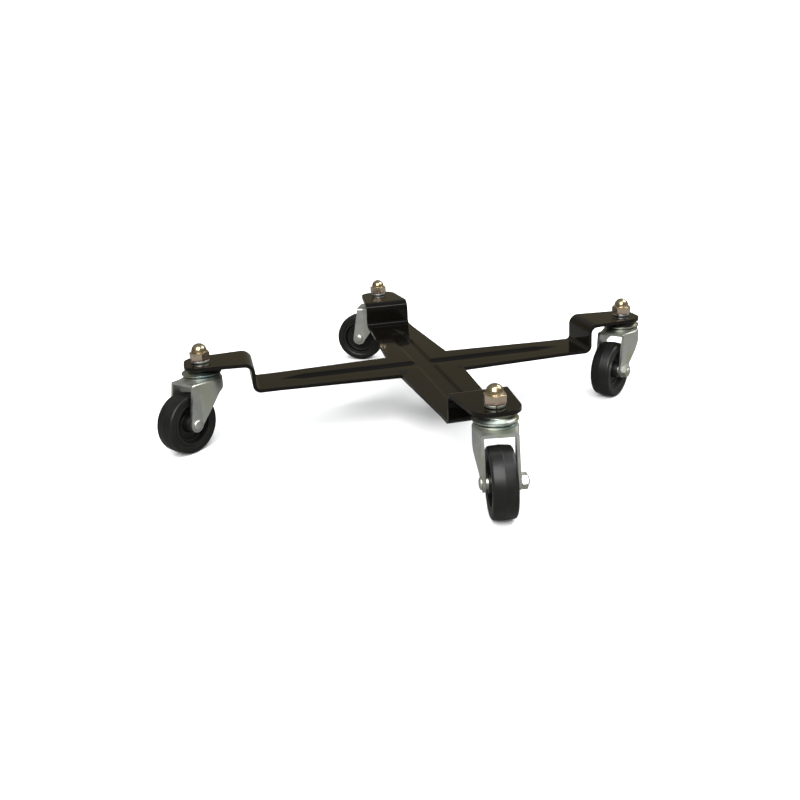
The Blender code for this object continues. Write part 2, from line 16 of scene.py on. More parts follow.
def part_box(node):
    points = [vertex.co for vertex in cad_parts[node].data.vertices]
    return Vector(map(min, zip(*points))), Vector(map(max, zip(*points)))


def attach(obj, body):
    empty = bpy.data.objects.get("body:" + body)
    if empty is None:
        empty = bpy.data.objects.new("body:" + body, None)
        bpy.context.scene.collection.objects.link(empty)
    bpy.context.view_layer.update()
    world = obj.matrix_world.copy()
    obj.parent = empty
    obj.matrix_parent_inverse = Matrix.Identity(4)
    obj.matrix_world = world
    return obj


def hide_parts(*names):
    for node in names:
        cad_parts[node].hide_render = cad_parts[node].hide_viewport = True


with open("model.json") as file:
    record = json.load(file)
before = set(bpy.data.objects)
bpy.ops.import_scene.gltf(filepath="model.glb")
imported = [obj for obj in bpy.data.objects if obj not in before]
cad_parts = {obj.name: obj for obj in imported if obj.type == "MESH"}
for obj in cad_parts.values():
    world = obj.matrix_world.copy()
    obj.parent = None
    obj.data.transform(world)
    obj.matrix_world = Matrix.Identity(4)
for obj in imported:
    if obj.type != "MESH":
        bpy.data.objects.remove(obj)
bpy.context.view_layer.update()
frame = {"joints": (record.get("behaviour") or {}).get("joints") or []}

MM = 0.001
PLACES = ("front", "left", "right", "back")

# Bars
STEM_REACH = 246 * MM
BAR_THICKNESS = 4 * MM
BAR_CENTRE_WIDTH = 72 * MM
BAR_RISER_WIDTH = 56 * MM
BAR_STEM_WIDTH = 47 * MM
RISER_FACE = 191 * MM
PARALLEL_LENGTH = 20 * MM
LOWER_BEND_RADIUS = 4.5 * MM
UPPER_BEND_RADIUS = 11 * MM
TIP_CORNER_RADIUS = 15 * MM
TIP_STEPS = 12
FLAT_STATIONS = (60 * MM, 90 * MM, 115 * MM)
FLANGE_STATION = STEM_REACH - 25 * MM
STEM_HOLE_RADIUS = 6.4 * MM
GROOVE_DEPTH = 2.8 * MM
GROOVE_HALF_WIDTH = 11.5 * MM
GROOVE_FLOOR_HALF_WIDTH = 7 * MM
GROOVE_FULL_REACH = 138 * MM
GROOVE_END_REACH = 167 * MM
GROOVE_END_SCALE = 0.06
GROOVE_CORNER_SHARPNESS = 4
GROOVE_WALL_STEPS = 7
GROOVE_END_STEPS = 8
PLATE_EDGE_ROUND = 0.9 * MM
PLATE_EDGE_ANGLE = math.radians(50)
BAR_SHARP_ANGLE = math.radians(60)
SEAM_TOLERANCE = 0.01 * MM

# A bar's mesh has lines along it at these distances from its middle, besides those on the groove's
# walls. Where the bar narrows they are held inside its edge: the outermost at about its share of the
# half width, and each of the others a step further in.
FLOOR_LINE = 3.5 * MM
OUTER_LINE = 16 * MM
CROSSING_LINE = 24 * MM
LEAST_LINE_SCALE = 0.1
OUTER_LINE_SHARE = 0.97
LINE_SHARE_STEP = 0.02

# Welds
WELD_STEPS = 60
WELD_RIPPLES = 11
WELD_LEAST_SIZE = 0.85

# Fork
FORK_SHEET = 2.8 * MM
FORK_HALF_WIDTH = 16.6 * MM
HOOD_RADIUS = 20.9 * MM
CROWN_BACK_REACH = 28.5 * MM
CROWN_ROUND = 2.6 * MM
CROWN_INNER_ROUND = 0.8 * MM
CROWN_EDGE_DEPTH = 3 * MM
CROWN_ROUND_STEPS = 6
FORK_BEND_RADIUS = 9 * MM
SKIRT_FRONT_BOTTOM = 63 * MM
SKIRT_SIDE_REACH = -3 * MM
SKIRT_SIDE_BOTTOM = 60.5 * MM
AXLE_END_RADIUS = 8 * MM
AXLE_HOLE_RADIUS = 4.3 * MM

# Swivel bearing, stem, nut and washer
RACE_BORE_RADIUS = 6.4 * MM
LOWER_RACE_RADIUS = 19.5 * MM
TOP_RACE_RADIUS = 20.8 * MM
TOP_RACE_NECK_RADIUS = 15.5 * MM
BALL_RADIUS = 1.9 * MM
BALL_CIRCLE_RADIUS = 14 * MM
BALL_COUNT = 8
RACE_SPLIT = 0.8 * MM
CAGE_HALF_THICKNESS = 0.45 * MM
CAGE_HALF_WIDTH = 3.4 * MM
STEM_RADIUS = 6 * MM
STEM_HEAD_RADIUS = 9 * MM
WASHER_RADIUS = 9.6 * MM
WASHER_SPLIT_ANGLE = math.radians(9)
WASHER_SPRING = 0.25 * MM
WASHER_STEPS = 90
NUT_ACROSS_FLATS = 19 * MM
NUT_HEX_HEIGHT = 8.5 * MM
NUT_NECK_HEIGHT = 0.7 * MM
NUT_DOME_RADIUS = 8.1 * MM
NUT_BORE_RADIUS = 6.3 * MM

# Wheel and axle
TREAD_SHOULDER_DROP = 1 * MM
SHOULDER_ROUND = 2 * MM
TYRE_INNER_RADIUS = 23.5 * MM
RIM_SETBACK = 1 * MM
RECESS_RADIUS = 21 * MM
WEB_HALF_THICKNESS = 2.5 * MM
WEB_BEAD_HEIGHT = 0.8 * MM
HUB_RADIUS = 9 * MM
SLEEVE_RADIUS = 6 * MM
AXLE_RADIUS = 4 * MM
AXLE_HEAD_RADIUS = 5.8 * MM
AXLE_HEAD_HEIGHT = 2.6 * MM
AXLE_NUT_ACROSS_FLATS = 13 * MM
AXLE_NUT_HEIGHT = 6 * MM
THREAD_PITCH = 1.25 * MM
THREAD_DEPTH = 0.65 * MM
THREAD_REACH = 1.5 * MM

GAP = 0.3 * MM
TURNED_SEGMENTS = 96
SMALL_SEGMENTS = 48
SHARP_ANGLE = math.radians(35)

# Camera: the photograph's angle, framing and lens
CAMERA_AZIMUTH = math.radians(14.05)
CAMERA_ELEVATION = math.radians(17.03)
CAMERA_ROLL = math.radians(-2.6)
CAMERA_DISTANCE = 0.9835
CAMERA_AIM_HEIGHT = 0.0585
CAMERA_LENS = 38.64
CAMERA_SHIFT = (-0.0304, -0.0433)

# Studio. A paint this glossy shows the room, so reflections see a dimmer room than the eye does.
FLOOR_SIZE = 40
FLOOR_IN_REFLECTIONS = (0.16, 0.16, 0.15)
ROOM_IN_REFLECTIONS = [
    (0.0, (0.22, 0.20, 0.15)),
    (0.3, (0.20, 0.17, 0.11)),
    (0.6, (0.30, 0.30, 0.29)),
    (1.0, (0.40, 0.41, 0.42)),
]
FILL_COLOUR = (0.98, 0.99, 1)
FILL_STRENGTH = 1.15

# Softboxes: name, azimuth and elevation in degrees, distance, (width, height) and power
SOFTBOXES = (
    ("key_softbox", -22, 42, 1.6, (1.0, 0.8), 24),
    ("right_softbox", 92, 46, 1.7, (1.0, 0.7), 16),
    ("top_strip", 0, 64, 1.4, (1.6, 0.14), 6),
)


# Frame facts


def joint(name):
    return next(j for j in frame["joints"] if j["name"] == name)


def caster_matrix(place):
    """The caster's axes: Z up the stem from the floor, X towards the wheel."""
    foot = Vector(joint(f"{place}_swivel_turn")["pos_m"])
    wheel = Vector(joint(f"{place}_wheel_spin")["pos_m"])
    foot.z = 0
    direction = (wheel - foot).xy
    return Matrix.Translation(foot) @ Matrix.Rotation(math.atan2(direction.y, direction.x), 4, "Z")


def axle_matrix(place):
    """The axle's axes: Z along the axle, towards the side that the bolt's head is on."""
    spin = joint(f"{place}_wheel_spin")
    centre = Vector(spin["pos_m"])
    along = Vector(spin["axis"])
    low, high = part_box(f"{place}_axle_nut")
    if along.dot((low + high) / 2 - centre) > 0:
        along = -along
    turned = along.to_track_quat("Z", "Y").to_matrix().to_4x4()
    return Matrix.Translation(centre) @ turned


def cross_centre():
    """The point on the floor under the crossing: the middle of the four stems."""
    total = Vector((0, 0, 0))
    for place in PLACES:
        total += Vector(joint(f"{place}_swivel_turn")["pos_m"])
    centre = total / len(PLACES)
    centre.z = 0
    return centre


CENTRE = cross_centre()
BAR_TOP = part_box("weld_front_left")[1].z + GAP + BAR_THICKNESS
FLANGE_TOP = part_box("long_bar")[1].z
BAR_TIP = (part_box("long_bar")[1].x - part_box("long_bar")[0].x) / 2
CROWN_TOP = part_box("front_fork")[1].z
WHEEL_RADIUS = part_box("front_tyre")[1].z / 2
WHEEL_WIDTH = 23 * MM
AXLE_HEIGHT = joint("front_wheel_spin")["pos_m"][2]
TRAIL = (Vector(joint("front_wheel_spin")["pos_m"]) - Vector(joint("front_swivel_turn")["pos_m"])).xy.length


# Mesh tools


def mesh_of(shape, name="shape"):
    bmesh.ops.recalc_face_normals(shape, faces=shape.faces)
    mesh = bpy.data.meshes.new(name)
    shape.to_mesh(mesh)
    shape.free()
    return mesh


def arc(centre, radius, start, end, steps):
    """Points from the angle start to the angle end, in degrees."""
    points = []
    for step in range(steps + 1):
        angle = math.radians(start + (end - start) * step / steps)
        points.append((centre[0] + radius * math.cos(angle), centre[1] + radius * math.sin(angle)))
    return points


def filleted(corners, steps=5, closed=True):
    """An outline of (x, y, radius) corners, with each corner rounded to its radius."""
    points = []
    count = len(corners)
    for index, (x, y, radius) in enumerate(corners):
        here = Vector((x, y))
        inside = closed or 0 < index < count - 1
        if radius <= 0 or not inside:
            points.append((x, y))
            continue
        before = Vector(corners[index - 1][:2]) - here
        after = Vector(corners[(index + 1) % count][:2]) - here
        half_angle = before.angle(after) / 2
        cut = min(radius / math.tan(half_angle), before.length * 0.49, after.length * 0.49)
        first = here + before.normalized() * cut
        last = here + after.normalized() * cut
        for step in range(steps + 1):
            share = step / steps
            point = first * (1 - share) ** 2 + here * 2 * share * (1 - share) + last * share**2
            points.append((point.x, point.y))
    return points


def turned(profile, segments=TURNED_SEGMENTS):
    """A solid of revolution from a closed (radius, height) outline, or one that ends on the axis."""
    shape = bmesh.new()
    verts = [shape.verts.new((radius, 0, height)) for radius, height in profile]
    edges = [shape.edges.new(pair) for pair in zip(verts, verts[1:])]
    if profile[0][0] > 0 and profile[-1][0] > 0:
        edges.append(shape.edges.new((verts[-1], verts[0])))
    bmesh.ops.spin(
        shape,
        geom=verts + edges,
        cent=(0, 0, 0),
        axis=(0, 0, 1),
        angle=math.tau,
        steps=segments,
        use_merge=True,
    )
    bmesh.ops.remove_doubles(shape, verts=shape.verts, dist=0.002 * MM)
    return mesh_of(shape)


def stacked(loops):
    """A solid through loops of equal length, capped at both ends."""
    shape = bmesh.new()
    rows = [[shape.verts.new(point) for point in loop] for loop in loops]
    for low, high in zip(rows, rows[1:]):
        for index in range(len(low)):
            after = (index + 1) % len(low)
            shape.faces.new((low[index], low[after], high[after], high[index]))
    shape.faces.new(list(reversed(rows[0])))
    shape.faces.new(rows[-1])
    return mesh_of(shape)


def prism(outline, low, high):
    """A flat outline in XY, made solid from one height to the other."""
    return stacked([[(x, y, height) for x, y in outline] for height in (low, high)])


def round_bar(radius, low, high, centre=(0, 0)):
    outline = arc(centre, radius, 0, 360 - 360 / SMALL_SEGMENTS, SMALL_SEGMENTS - 1)
    return prism(outline, low, high)


def combined(base, other, operation):
    """The mesh that an exact Boolean makes of two meshes."""
    holder = bpy.data.objects.new("holder", base)
    tool = bpy.data.objects.new("tool", other)
    for obj in (holder, tool):
        bpy.context.scene.collection.objects.link(obj)
    modifier = holder.modifiers.new("boolean", "BOOLEAN")
    modifier.operation = operation
    modifier.solver = "EXACT"
    modifier.object = tool
    graph = bpy.context.evaluated_depsgraph_get()
    made = bpy.data.meshes.new_from_object(holder.evaluated_get(graph))
    for obj in (holder, tool):
        bpy.data.objects.remove(obj)
    return made


def placed(mesh, matrix):
    copy = mesh.copy()
    copy.transform(matrix)
    return copy


def add_piece(name, mesh, body, nodes, material, sharp=SHARP_ANGLE):
    """A shown piece that stands for CAD nodes and moves with a body."""
    mesh.materials.clear()
    mesh.materials.append(material)
    mesh.shade_smooth()
    mesh.set_sharp_from_angle(angle=sharp)
    piece = bpy.data.objects.new(name, mesh)
    bpy.context.scene.collection.objects.link(piece)
    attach(piece, body)
    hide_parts(*nodes)
    return piece


def keep_flats_flat(piece):
    """Shades each vertex after its largest faces, so that the flats reflect as flats."""
    modifier = piece.modifiers.new("flat shading", "WEIGHTED_NORMAL")
    modifier.keep_sharp = True


# Materials


def node(tree, kind, **settings):
    made = tree.nodes.new(kind)
    for key, value in settings.items():
        setattr(made, key, value)
    return made


def start_material(name):
    material = bpy.data.materials.new(name)
    material.use_nodes = True
    tree = material.node_tree
    shader = tree.nodes["Principled BSDF"]
    place = node(tree, "ShaderNodeTexCoord")
    return material, tree, shader, place.outputs["Object"]


def noise(tree, place, scale, detail=3):
    made = node(tree, "ShaderNodeTexNoise")
    made.inputs["Scale"].default_value = scale
    made.inputs["Detail"].default_value = detail
    tree.links.new(place, made.inputs["Vector"])
    return made.outputs["Fac"]


def ramp(tree, source, stops):
    """A colour ramp through (position, colour) stops."""
    made = node(tree, "ShaderNodeValToRGB")
    elements = made.color_ramp.elements
    while len(elements) < len(stops):
        elements.new(0.5)
    for element, (position, colour) in zip(elements, stops):
        element.position = position
        element.color = (*colour, 1)
    tree.links.new(source, made.inputs["Fac"])
    return made.outputs["Color"]


def spread(tree, source, low, high):
    """The source's 0.3 to 0.7 stretched to run from low to high."""
    made = node(tree, "ShaderNodeMapRange")
    made.inputs["From Min"].default_value = 0.3
    made.inputs["From Max"].default_value = 0.7
    made.inputs["To Min"].default_value = low
    made.inputs["To Max"].default_value = high
    tree.links.new(source, made.inputs["Value"])
    return made.outputs["Result"]


def bump(tree, shader, source, strength, distance):
    made = node(tree, "ShaderNodeBump")
    made.inputs["Strength"].default_value = strength
    made.inputs["Distance"].default_value = distance
    tree.links.new(source, made.inputs["Height"])
    tree.links.new(made.outputs["Normal"], shader.inputs["Normal"])


def gloss_black_paint():
    """Thick stoved enamel: near black and warm, with a faint orange peel and a clear gloss."""
    material, tree, shader, place = start_material("gloss_black_paint")
    shader.inputs["Specular IOR Level"].default_value = 0.22
    stops = [(0.3, (0.0016, 0.0014, 0.001)), (0.7, (0.0032, 0.0028, 0.002))]
    tree.links.new(ramp(tree, noise(tree, place, 9), stops), shader.inputs["Base Color"])
    tree.links.new(spread(tree, noise(tree, place, 60), 0.05, 0.11), shader.inputs["Roughness"])
    bump(tree, shader, noise(tree, place, 130, detail=1), 0.06, 0.2 * MM)
    return material


def plated(name, stops, cloud_scale, low_roughness, high_roughness):
    """A plated steel: metallic, clouded through the stops' colours, with a fine satin grain."""
    material, tree, shader, place = start_material(name)
    shader.inputs["Metallic"].default_value = 1
    tint = ramp(tree, noise(tree, place, cloud_scale), stops)
    tree.links.new(tint, shader.inputs["Base Color"])
    satin = spread(tree, noise(tree, place, cloud_scale * 3), low_roughness, high_roughness)
    tree.links.new(satin, shader.inputs["Roughness"])
    bump(tree, shader, noise(tree, place, 900, detail=2), 0.03, 0.1 * MM)
    return material


def bright_zinc():
    """Bright zinc plate: blue-white, clouded with faint yellow and green."""
    stops = [(0.3, (0.48, 0.51, 0.52)), (0.5, (0.64, 0.65, 0.63)), (0.7, (0.57, 0.59, 0.48))]
    return plated("bright_zinc", stops, 38, 0.36, 0.46)


def race_zinc_painted_shade():
    """The races' plating: smoother, with the teal and olive bloom of thin passivation, and darker than the
    bright zinc as painted shade for the flange above them.
    """
    # Painted shade: these colours are darker than the bright zinc's, for the shade that the flange casts
    # over the races.
    stops = [(0.3, (0.20, 0.29, 0.28)), (0.5, (0.36, 0.38, 0.34)), (0.7, (0.33, 0.35, 0.22))]
    return plated("race_zinc_painted_shade", stops, 60, 0.3, 0.38)


def yellow_zinc():
    """Yellow passivated zinc: pinkish silver low on the nut, turning to a darker olive gold up its dome.
    The hues are the plating's own; the darkening up the dome is a painted reflection of the dim room above
    it.
    """
    material, tree, shader, place = start_material("yellow_zinc")
    shader.inputs["Metallic"].default_value = 1
    split = node(tree, "ShaderNodeSeparateXYZ")
    tree.links.new(place, split.inputs["Vector"])
    height = node(tree, "ShaderNodeMapRange")
    height.inputs["From Min"].default_value = FLANGE_TOP
    height.inputs["From Max"].default_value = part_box("front_stem_nut")[1].z
    tree.links.new(split.outputs["Z"], height.inputs["Value"])
    clouds = spread(tree, noise(tree, place, 90), -0.2, 0.2)
    total = node(tree, "ShaderNodeMath", operation="ADD")
    tree.links.new(height.outputs["Result"], total.inputs[0])
    tree.links.new(clouds, total.inputs[1])
    # Painted reflection: the stops darken with height, from the pinkish silver hex to the olive gold dome,
    # for the dim room that the dome reflects.
    stops = [
        (0.3, (0.74, 0.58, 0.47)),
        (0.58, (0.66, 0.55, 0.40)),
        (0.72, (0.42, 0.35, 0.23)),
        (1, (0.36, 0.32, 0.20)),
    ]
    tree.links.new(ramp(tree, total.outputs["Value"], stops), shader.inputs["Base Color"])
    tree.links.new(spread(tree, noise(tree, place, 240), 0.2, 0.3), shader.inputs["Roughness"])
    bump(tree, shader, noise(tree, place, 900, detail=2), 0.03, 0.1 * MM)
    return material


def bearing_steel():
    """Ground steel, for the balls and their cage."""
    stops = [(0.3, (0.36, 0.36, 0.37)), (0.7, (0.48, 0.47, 0.44))]
    return plated("bearing_steel", stops, 200, 0.1, 0.2)


def tyre_rubber():
    """Moulded rubber: near black with a slight green cast, a fine grain and a dull sheen."""
    material, tree, shader, place = start_material("tyre_rubber")
    shader.inputs["Specular IOR Level"].default_value = 0.36
    stops = [(0.3, (0.002, 0.0025, 0.002)), (0.7, (0.005, 0.0055, 0.0045))]
    tree.links.new(ramp(tree, noise(tree, place, 70, detail=5), stops), shader.inputs["Base Color"])
    tree.links.new(spread(tree, noise(tree, place, 120), 0.35, 0.45), shader.inputs["Roughness"])
    bump(tree, shader, noise(tree, place, 1500, detail=3), 0.12, 0.1 * MM)
    return material


def core_plastic():
    """Moulded plastic: black, finely grained and fairly dull."""
    material, tree, shader, place = start_material("core_plastic")
    shader.inputs["Specular IOR Level"].default_value = 0.4
    stops = [(0.3, (0.003, 0.003, 0.003)), (0.7, (0.006, 0.006, 0.005))]
    tree.links.new(ramp(tree, noise(tree, place, 90), stops), shader.inputs["Base Color"])
    tree.links.new(spread(tree, noise(tree, place, 250), 0.4, 0.5), shader.inputs["Roughness"])
    bump(tree, shader, noise(tree, place, 1200, detail=2), 0.1, 0.1 * MM)
    return material


PAINT = gloss_black_paint()
ZINC = bright_zinc()
RACE = race_zinc_painted_shade()
YELLOW = yellow_zinc()
STEEL = bearing_steel()
RUBBER = tyre_rubber()
PLASTIC = core_plastic()


# Bars


def bend(centre, radius, start, end, steps, outward):
    """Stations round a bend. The normal points away from its centre (outward 1) or to it (-1)."""
    stations = []
    for reach, height in arc(centre, radius, start, end, steps):
        along = outward * (reach - centre[0]) / radius
        up = outward * (height - centre[1]) / radius
        stations.append((reach, height, along, up))
    return stations


def arm_stations():
    """Where an arm's upper surface runs, outwards from the crossing: (reach, height, the normal's
    part along the arm, the normal's part up)."""
    run_out = GROOVE_END_REACH - GROOVE_FULL_REACH
    flats = list(FLAT_STATIONS)
    for step in range(GROOVE_END_STEPS + 1):
        flats.append(GROOVE_FULL_REACH + run_out * step / GROOVE_END_STEPS)
    stations = [(reach, BAR_TOP, 0, 1) for reach in flats]
    lower_centre = (RISER_FACE - LOWER_BEND_RADIUS, BAR_TOP + LOWER_BEND_RADIUS)
    upper_centre = (RISER_FACE + UPPER_BEND_RADIUS, FLANGE_TOP - UPPER_BEND_RADIUS)
    stations += bend(lower_centre, LOWER_BEND_RADIUS, -90, 0, 10, outward=-1)
    stations += bend(upper_centre, UPPER_BEND_RADIUS, 180, 90, 14, outward=1)
    stations.append((FLANGE_STATION, FLANGE_TOP, 0, 1))
    corner_start = BAR_TIP - TIP_CORNER_RADIUS
    for step in range(TIP_STEPS + 1):
        angle = math.pi / 2 * step / TIP_STEPS
        stations.append((corner_start + TIP_CORNER_RADIUS * math.sin(angle), FLANGE_TOP, 0, 1))
    return stations


def bar_half_width(reach):
    """Widest at the crossing, parallel at the riser, tapering on to a tip with rounded corners."""
    taper_start = BAR_CENTRE_WIDTH / 2
    taper_end = RISER_FACE - PARALLEL_LENGTH
    flange_start = RISER_FACE + UPPER_BEND_RADIUS
    share = max(0, min(1, (reach - taper_start) / (taper_end - taper_start)))
    width = BAR_CENTRE_WIDTH + (BAR_RISER_WIDTH - BAR_CENTRE_WIDTH) * share
    if reach > flange_start:
        share = (reach - flange_start) / (STEM_REACH - flange_start)
        width += (BAR_STEM_WIDTH - BAR_RISER_WIDTH) * share
    half_width = width / 2
    corner_start = BAR_TIP - TIP_CORNER_RADIUS
    if reach > corner_start:
        inset = min(reach - corner_start, TIP_CORNER_RADIUS)
        half_width -= TIP_CORNER_RADIUS - math.sqrt(max(0, TIP_CORNER_RADIUS**2 - inset**2))
    return half_width


def groove_scale(reach):
    """1 along the groove, tapering to a point at its end."""
    share = (reach - GROOVE_FULL_REACH) / (GROOVE_END_REACH - GROOVE_FULL_REACH)
    return max(GROOVE_END_SCALE, min(1, 1 - share))


def groove_drop(reach, side):
    """How far the upper surface lies below the flat: both grooves, blended where they cross."""
    scale = groove_scale(abs(reach))
    own = max(abs(side) / scale - GROOVE_FLOOR_HALF_WIDTH, 0)
    other = max(abs(reach) - GROOVE_FLOOR_HALF_WIDTH, 0)
    if min(own, other) <= 0:
        away = 0
    else:
        sharp = GROOVE_CORNER_SHARPNESS
        away = (own**-sharp + other**-sharp) ** (-1 / sharp)
    share = min(1, away / (GROOVE_HALF_WIDTH - GROOVE_FLOOR_HALF_WIDTH))
    depth_share = (scale - GROOVE_END_SCALE) / (1 - GROOVE_END_SCALE)
    return GROOVE_DEPTH * depth_share * (1 - share * share * (3 - 2 * share))


def groove_lines(*further):
    """Distances from a groove's middle, to both sides, of the lines that its shape needs."""
    wall = GROOVE_HALF_WIDTH - GROOVE_FLOOR_HALF_WIDTH
    lines = [0, FLOOR_LINE]
    for step in range(GROOVE_WALL_STEPS + 1):
        lines.append(GROOVE_FLOOR_HALF_WIDTH + wall * step / GROOVE_WALL_STEPS)
    lines += further
    return [-line for line in reversed(lines[1:])] + lines


def line_side(row, lines, reach):
    """How far to the side a row of the plate's mesh lies. The first and last are the bar's edges."""
    half = bar_half_width(abs(reach))
    if row == 0:
        return -half
    if row == len(lines) + 1:
        return half
    scale = min(1, max(groove_scale(abs(reach)), LEAST_LINE_SCALE))
    from_edge = len(lines) / 2 - abs(row - 1 - len(lines) // 2)
    limit = half * (OUTER_LINE_SHARE - LINE_SHARE_STEP * from_edge)
    return max(-limit, min(limit, lines[row - 1] * scale))


def thicken(shape, through):
    """Makes a sheet solid: its other face lies where each vertex's own vector says."""
    upper = list(shape.verts)
    sheet = shape.faces[:] + shape.edges[:] + upper
    made = bmesh.ops.extrude_face_region(shape, geom=sheet, use_keep_orig=True)
    copies = [item for item in made["geom"] if isinstance(item, bmesh.types.BMVert)]
    for original, copy in zip(upper, copies):
        copy.co = original.co + through[original]


def weight_outer_edges(shape, seam_test):
    """Marks the plate's outer edges to be rounded, apart from those in a seam."""
    weight = shape.edges.layers.float.new("bevel_weight_edge")
    bmesh.ops.recalc_face_normals(shape, faces=shape.faces)
    for edge in shape.edges:
        outer = len(edge.link_faces) == 2 and edge.calc_face_angle() > PLATE_EDGE_ANGLE
        seam = all(seam_test(vert.co) for vert in edge.verts)
        edge[weight] = 1.0 if outer and not seam else 0.0


def plate_mesh(stations, seam_test):
    """The pressed plate that follows the stations, its outer edges rounded but its seams square."""
    lines = groove_lines(OUTER_LINE)
    columns = len(stations) - 1
    rows = len(lines) + 1
    shape = bmesh.new()
    bmesh.ops.create_grid(shape, x_segments=columns, y_segments=rows, size=1)
    through = {}
    for vert in shape.verts:
        column = round((vert.co.x + 1) / 2 * columns)
        row = round((vert.co.y + 1) / 2 * rows)
        reach, height, along, up = stations[column]
        side = line_side(row, lines, reach)
        vert.co = (reach, side, height - groove_drop(reach, side))
        through[vert] = Vector((-along, 0, -up)) * BAR_THICKNESS
    thicken(shape, through)
    weight_outer_edges(shape, seam_test)
    return bevelled(mesh_of(shape), PLATE_EDGE_ROUND)


def bevelled(mesh, width):
    """The mesh with its weighted edges rounded."""
    holder = bpy.data.objects.new("holder", mesh)
    bpy.context.scene.collection.objects.link(holder)
    mesh.shade_smooth()
    modifier = holder.modifiers.new("bevel", "BEVEL")
    modifier.limit_method = "WEIGHT"
    modifier.width = width
    modifier.segments = 3
    graph = bpy.context.evaluated_depsgraph_get()
    made = bpy.data.meshes.new_from_object(holder.evaluated_get(graph))
    bpy.data.objects.remove(holder)
    return made


def with_stem_hole(mesh, reach):
    low = FLANGE_TOP - BAR_THICKNESS * 2
    high = FLANGE_TOP + BAR_THICKNESS
    return combined(mesh, round_bar(STEM_HOLE_RADIUS, low, high, (reach, 0)), "DIFFERENCE")


def add_long_bar():
    seam_reach = BAR_CENTRE_WIDTH / 2
    right = [(seam_reach, BAR_TOP, 0, 1)] + arm_stations()
    left = [(-reach, height, -along, up) for reach, height, along, up in reversed(right)]
    middle = [(reach, BAR_TOP, 0, 1) for reach in groove_lines(OUTER_LINE, CROSSING_LINE)]

    def on_seam(point):
        in_crossing = abs(point.x) <= seam_reach + SEAM_TOLERANCE
        return in_crossing and abs(point.y) > seam_reach - SEAM_TOLERANCE

    mesh = plate_mesh(left + middle + right, on_seam)
    for reach in (STEM_REACH, -STEM_REACH):
        mesh = with_stem_hole(mesh, reach)
    mesh.transform(Matrix.Translation(CENTRE))
    piece = add_piece(
        "long_bar_pressing", mesh, "frame", ["long_bar"], PAINT, sharp=BAR_SHARP_ANGLE
    )
    keep_flats_flat(piece)


def add_half_bar(node_name, direction):
    seam_reach = BAR_CENTRE_WIDTH / 2
    stations = [(seam_reach, BAR_TOP, 0, 1)] + arm_stations()

    def on_seam(point):
        return point.x < seam_reach + SEAM_TOLERANCE

    mesh = with_stem_hole(plate_mesh(stations, on_seam), STEM_REACH)
    mesh.transform(Matrix.Translation(CENTRE) @ Matrix.Rotation(math.radians(direction), 4, "Z"))
    name = node_name + "_pressing"
    piece = add_piece(name, mesh, "frame", [node_name], PAINT, sharp=BAR_SHARP_ANGLE)
    keep_flats_flat(piece)


def weld_mesh(low, high):
    """A rippled bead with tapered ends, flat on top, that fills a box along X."""
    section = arc((0, 0), 1, 180, 360, 10)
    middle = (low.y + high.y) / 2
    loops = []
    for step in range(WELD_STEPS + 1):
        share = step / WELD_STEPS
        wave = abs(math.sin(math.pi * share * WELD_RIPPLES))
        ripple = WELD_LEAST_SIZE + (1 - WELD_LEAST_SIZE) * wave
        taper = min(1, math.sqrt(min(share, 1 - share) * 12 + 0.05))
        half = (high.y - low.y) / 2 * ripple * taper
        depth = (high.z - low.z) * ripple * taper
        x = low.x + (high.x - low.x) * share
        loops.append([(x, middle + a * half, high.z + b * depth) for a, b in section])
    return stacked(loops)


def add_welds():
    """Rippled beads in the place of the plain ones."""
    for end in ("front", "back"):
        for side in ("left", "right"):
            name = f"weld_{end}_{side}"
            low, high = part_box(name)
            mesh = weld_mesh(low, high)
            add_piece(name + "_bead", mesh, "frame", [name], PAINT)


# Caster parts, in the caster's axes


def fork_plan(inset, back_reach):
    """The fork from above: round about the stem in front, and narrowing from there to legs that
    are parallel past the axle."""
    radius = HOOD_RADIUS - inset
    leg = FORK_HALF_WIDTH - inset
    leg_start = TRAIL - AXLE_END_RADIUS
    tangent = math.atan2(leg, leg_start) + math.acos(radius / math.hypot(leg, leg_start))
    front = arc((0, 0), radius, math.degrees(tangent), 360 - math.degrees(tangent), 48)
    side = [(*front[0], 0), (leg_start, leg, FORK_BEND_RADIUS), (back_reach, leg, 0)]
    left_leg = list(reversed(filleted(side, steps=6, closed=False)[1:]))
    right_leg = [(reach, -side) for reach, side in reversed(left_leg)]
    return left_leg + front + right_leg


def hood_solid(inset, back_reach, bottom, top, round_radius):
    """The plan's outline carried up to a top with a rounded edge."""
    loops = [[(x, y, bottom) for x, y in fork_plan(inset, back_reach)]]
    for step in range(CROWN_ROUND_STEPS + 1):
        angle = math.pi / 2 * step / CROWN_ROUND_STEPS
        lost = round_radius * (1 - math.cos(angle))
        height = top - round_radius + round_radius * math.sin(angle)
        loops.append([(x, y, height) for x, y in fork_plan(inset + lost, back_reach)])
    return stacked(loops)


def fork_side_prism():
    """The fork's outline from the side, as a solid through both legs."""
    above = CROWN_TOP + FORK_SHEET
    before = -HOOD_RADIUS - FORK_SHEET
    corners = [
        (before, above, 0),
        (before, SKIRT_FRONT_BOTTOM, 0),
        (-HOOD_RADIUS * 0.75, SKIRT_FRONT_BOTTOM, 4 * MM),
        (SKIRT_SIDE_REACH, SKIRT_SIDE_BOTTOM, 14 * MM),
    ]
    outline = filleted(corners + [(TRAIL - AXLE_END_RADIUS, AXLE_HEIGHT, 0)], closed=False)[:-1]
    outline += arc((TRAIL, AXLE_HEIGHT), AXLE_END_RADIUS, 200, 360, 24)
    outline += [(CROWN_BACK_REACH, CROWN_TOP - CROWN_EDGE_DEPTH), (CROWN_BACK_REACH, above)]
    reach = HOOD_RADIUS * 1.5
    mesh = prism(outline, -reach, reach)
    mesh.transform(Matrix.Rotation(math.pi / 2, 4, "X"))
    return mesh


